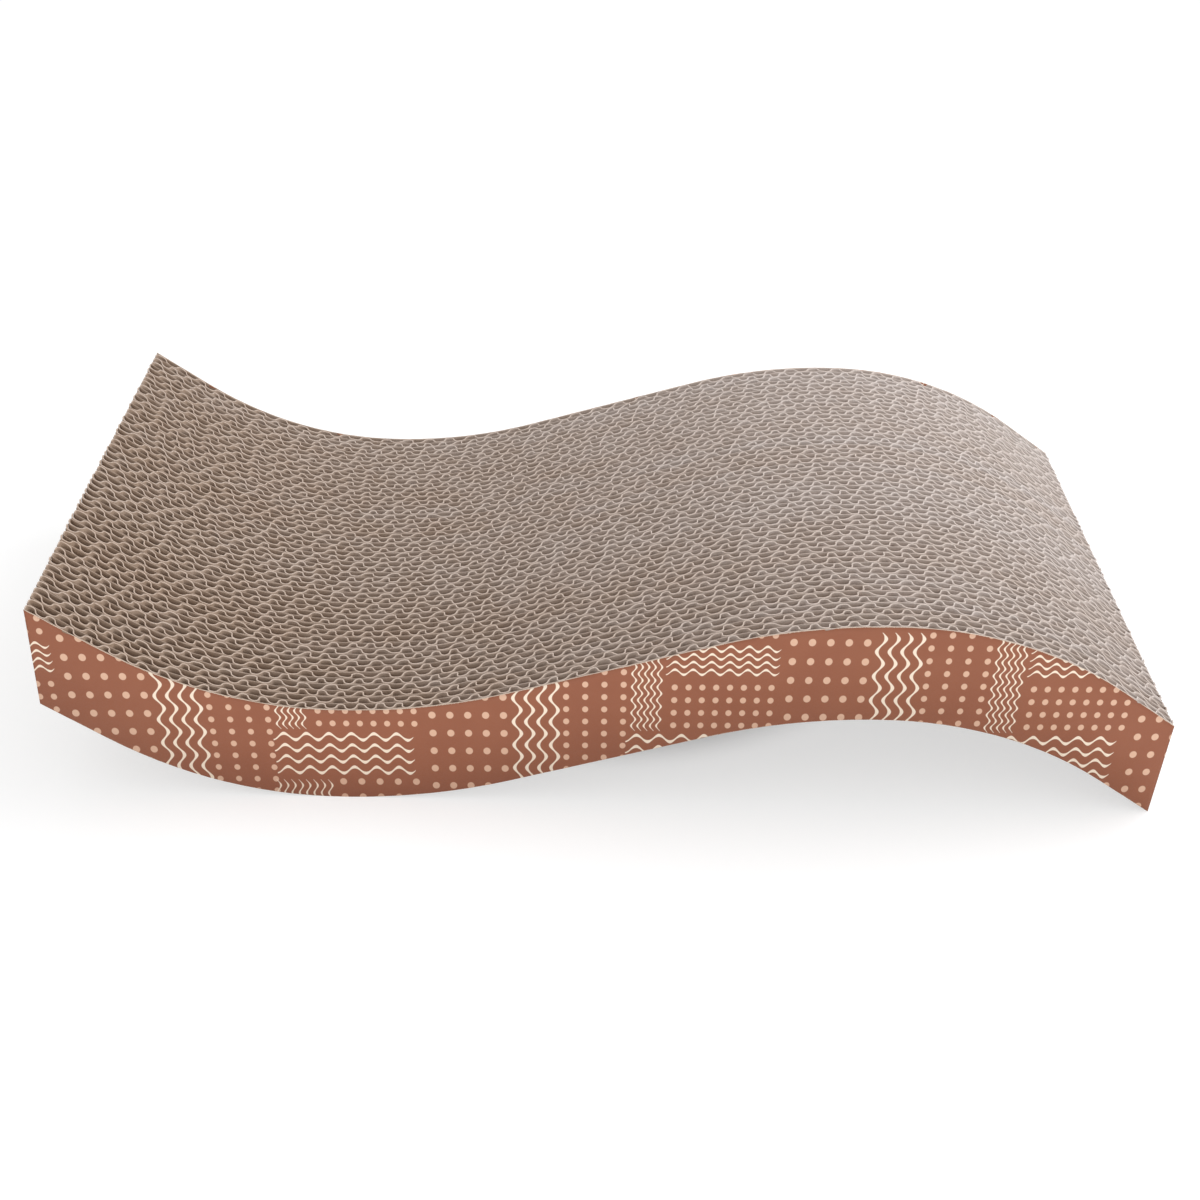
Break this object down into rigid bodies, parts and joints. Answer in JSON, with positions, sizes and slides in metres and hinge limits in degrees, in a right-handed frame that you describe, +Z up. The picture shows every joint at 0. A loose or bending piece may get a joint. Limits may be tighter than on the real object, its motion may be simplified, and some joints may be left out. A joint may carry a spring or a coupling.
{
  "type": "cat scratcher",
  "caption": "Wave-shaped cardboard cat scratcher: upright corrugated boards glued side by side, open flutes on top, printed faces.",
  "frame": {"origin": "centre of the footprint, on the floor that the trough and the low end stand on", "axes": "+X along the length, towards the low end; +Y across the boards, towards the back; +Z up"},
  "size_m": [0.4, 0.2004, 0.0803],
  "materials": {
    "kraft_board": "matte",
    "printed_paper": "matte"
  },
  "bodies": {
    "root": {"board_01": "kraft_board", "board_02": "kraft_board", "board_03": "kraft_board", "board_04": "kraft_board", "board_05": "kraft_board", "board_06": "kraft_board", "board_07": "kraft_board", "board_08": "kraft_board", "board_09": "kraft_board", "board_10": "kraft_board", "board_11": "kraft_board", "board_12": "kraft_board", "board_13": "kraft_board", "board_14": "kraft_board", "board_15": "kraft_board", "board_16": "kraft_board", "board_17": "kraft_board", "board_18": "kraft_board", "board_19": "kraft_board", "board_20": "kraft_board", "board_21": "kraft_board", "board_22": "kraft_board", "board_23": "kraft_board", "board_24": "kraft_board", "board_25": "kraft_board", "board_26": "kraft_board", "board_27": "kraft_board", "front_print_sheet": "printed_paper", "back_print_sheet": "printed_paper"}
  },
  "joints": []
}
